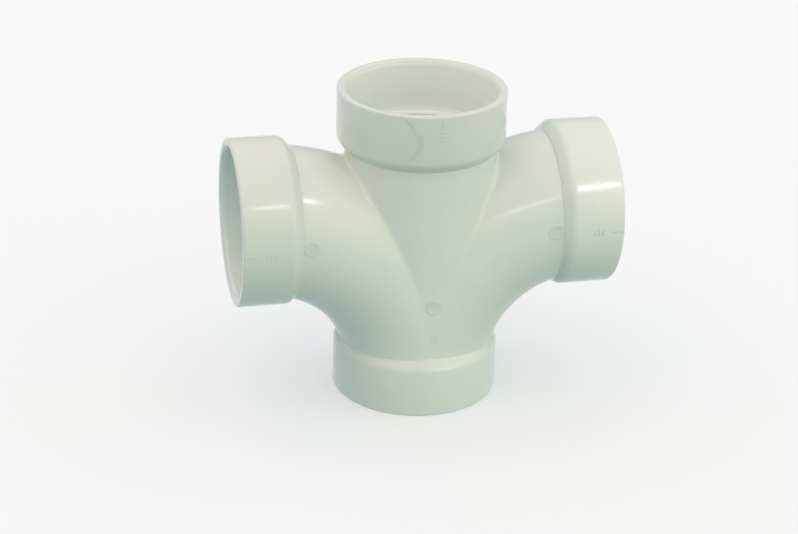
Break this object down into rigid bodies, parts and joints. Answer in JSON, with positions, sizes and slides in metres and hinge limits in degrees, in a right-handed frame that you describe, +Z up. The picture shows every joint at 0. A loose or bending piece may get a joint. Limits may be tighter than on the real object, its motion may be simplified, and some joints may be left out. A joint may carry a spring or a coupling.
{
  "type": "double sanitary tee drain fitting",
  "caption": "Plastic drain-pipe cross: a straight run with a socket at each end and two swept side branches with sockets, all moulded in one piece.",
  "frame": {"origin": "centre of the bottom rim, on the axis of the run", "axes": "+X along the axis of the branches to the right-hand one, +Y from the front of the fitting to its back, +Z up the run to the top socket"},
  "size_m": [0.1556, 0.0686, 0.1318],
  "materials": {
    "pvc": "moulded gloss, pale slightly green white"
  },
  "bodies": {
    "root": {"run_barrel": "pvc", "left_sweep": "pvc", "right_sweep": "pvc", "top_hub": "pvc", "bottom_hub": "pvc", "left_hub": "pvc", "right_hub": "pvc"}
  },
  "joints": []
}
